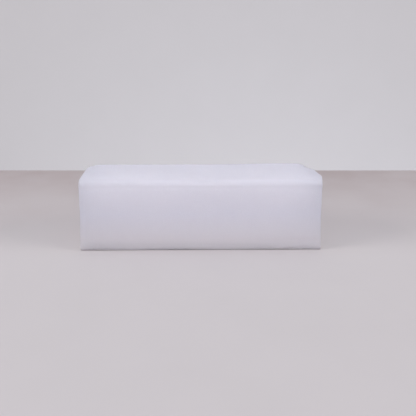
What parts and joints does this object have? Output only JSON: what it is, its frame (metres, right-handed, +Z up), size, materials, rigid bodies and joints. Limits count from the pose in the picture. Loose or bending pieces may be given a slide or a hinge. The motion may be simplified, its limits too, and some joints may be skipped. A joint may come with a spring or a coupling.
{
  "type": "nail buffer block",
  "caption": "Square-section foam block wrapped round its four long sides in white fine-grit abrasive sheet, with bare foam ends.",
  "frame": {"origin": "centre of the underside, on the surface that the block rests on", "axes": "+X along the block's length, -Y towards its front face, +Z up"},
  "size_m": [0.09, 0.027, 0.027],
  "materials": {
    "abrasive": "satin",
    "backing": "matte",
    "adhesive": "gloss",
    "foam": "matte"
  },
  "bodies": {
    "root": {"foam_core": "foam", "adhesive_film": "adhesive", "backing_sheet": "backing", "abrasive_coat": "abrasive"}
  },
  "joints": []
}
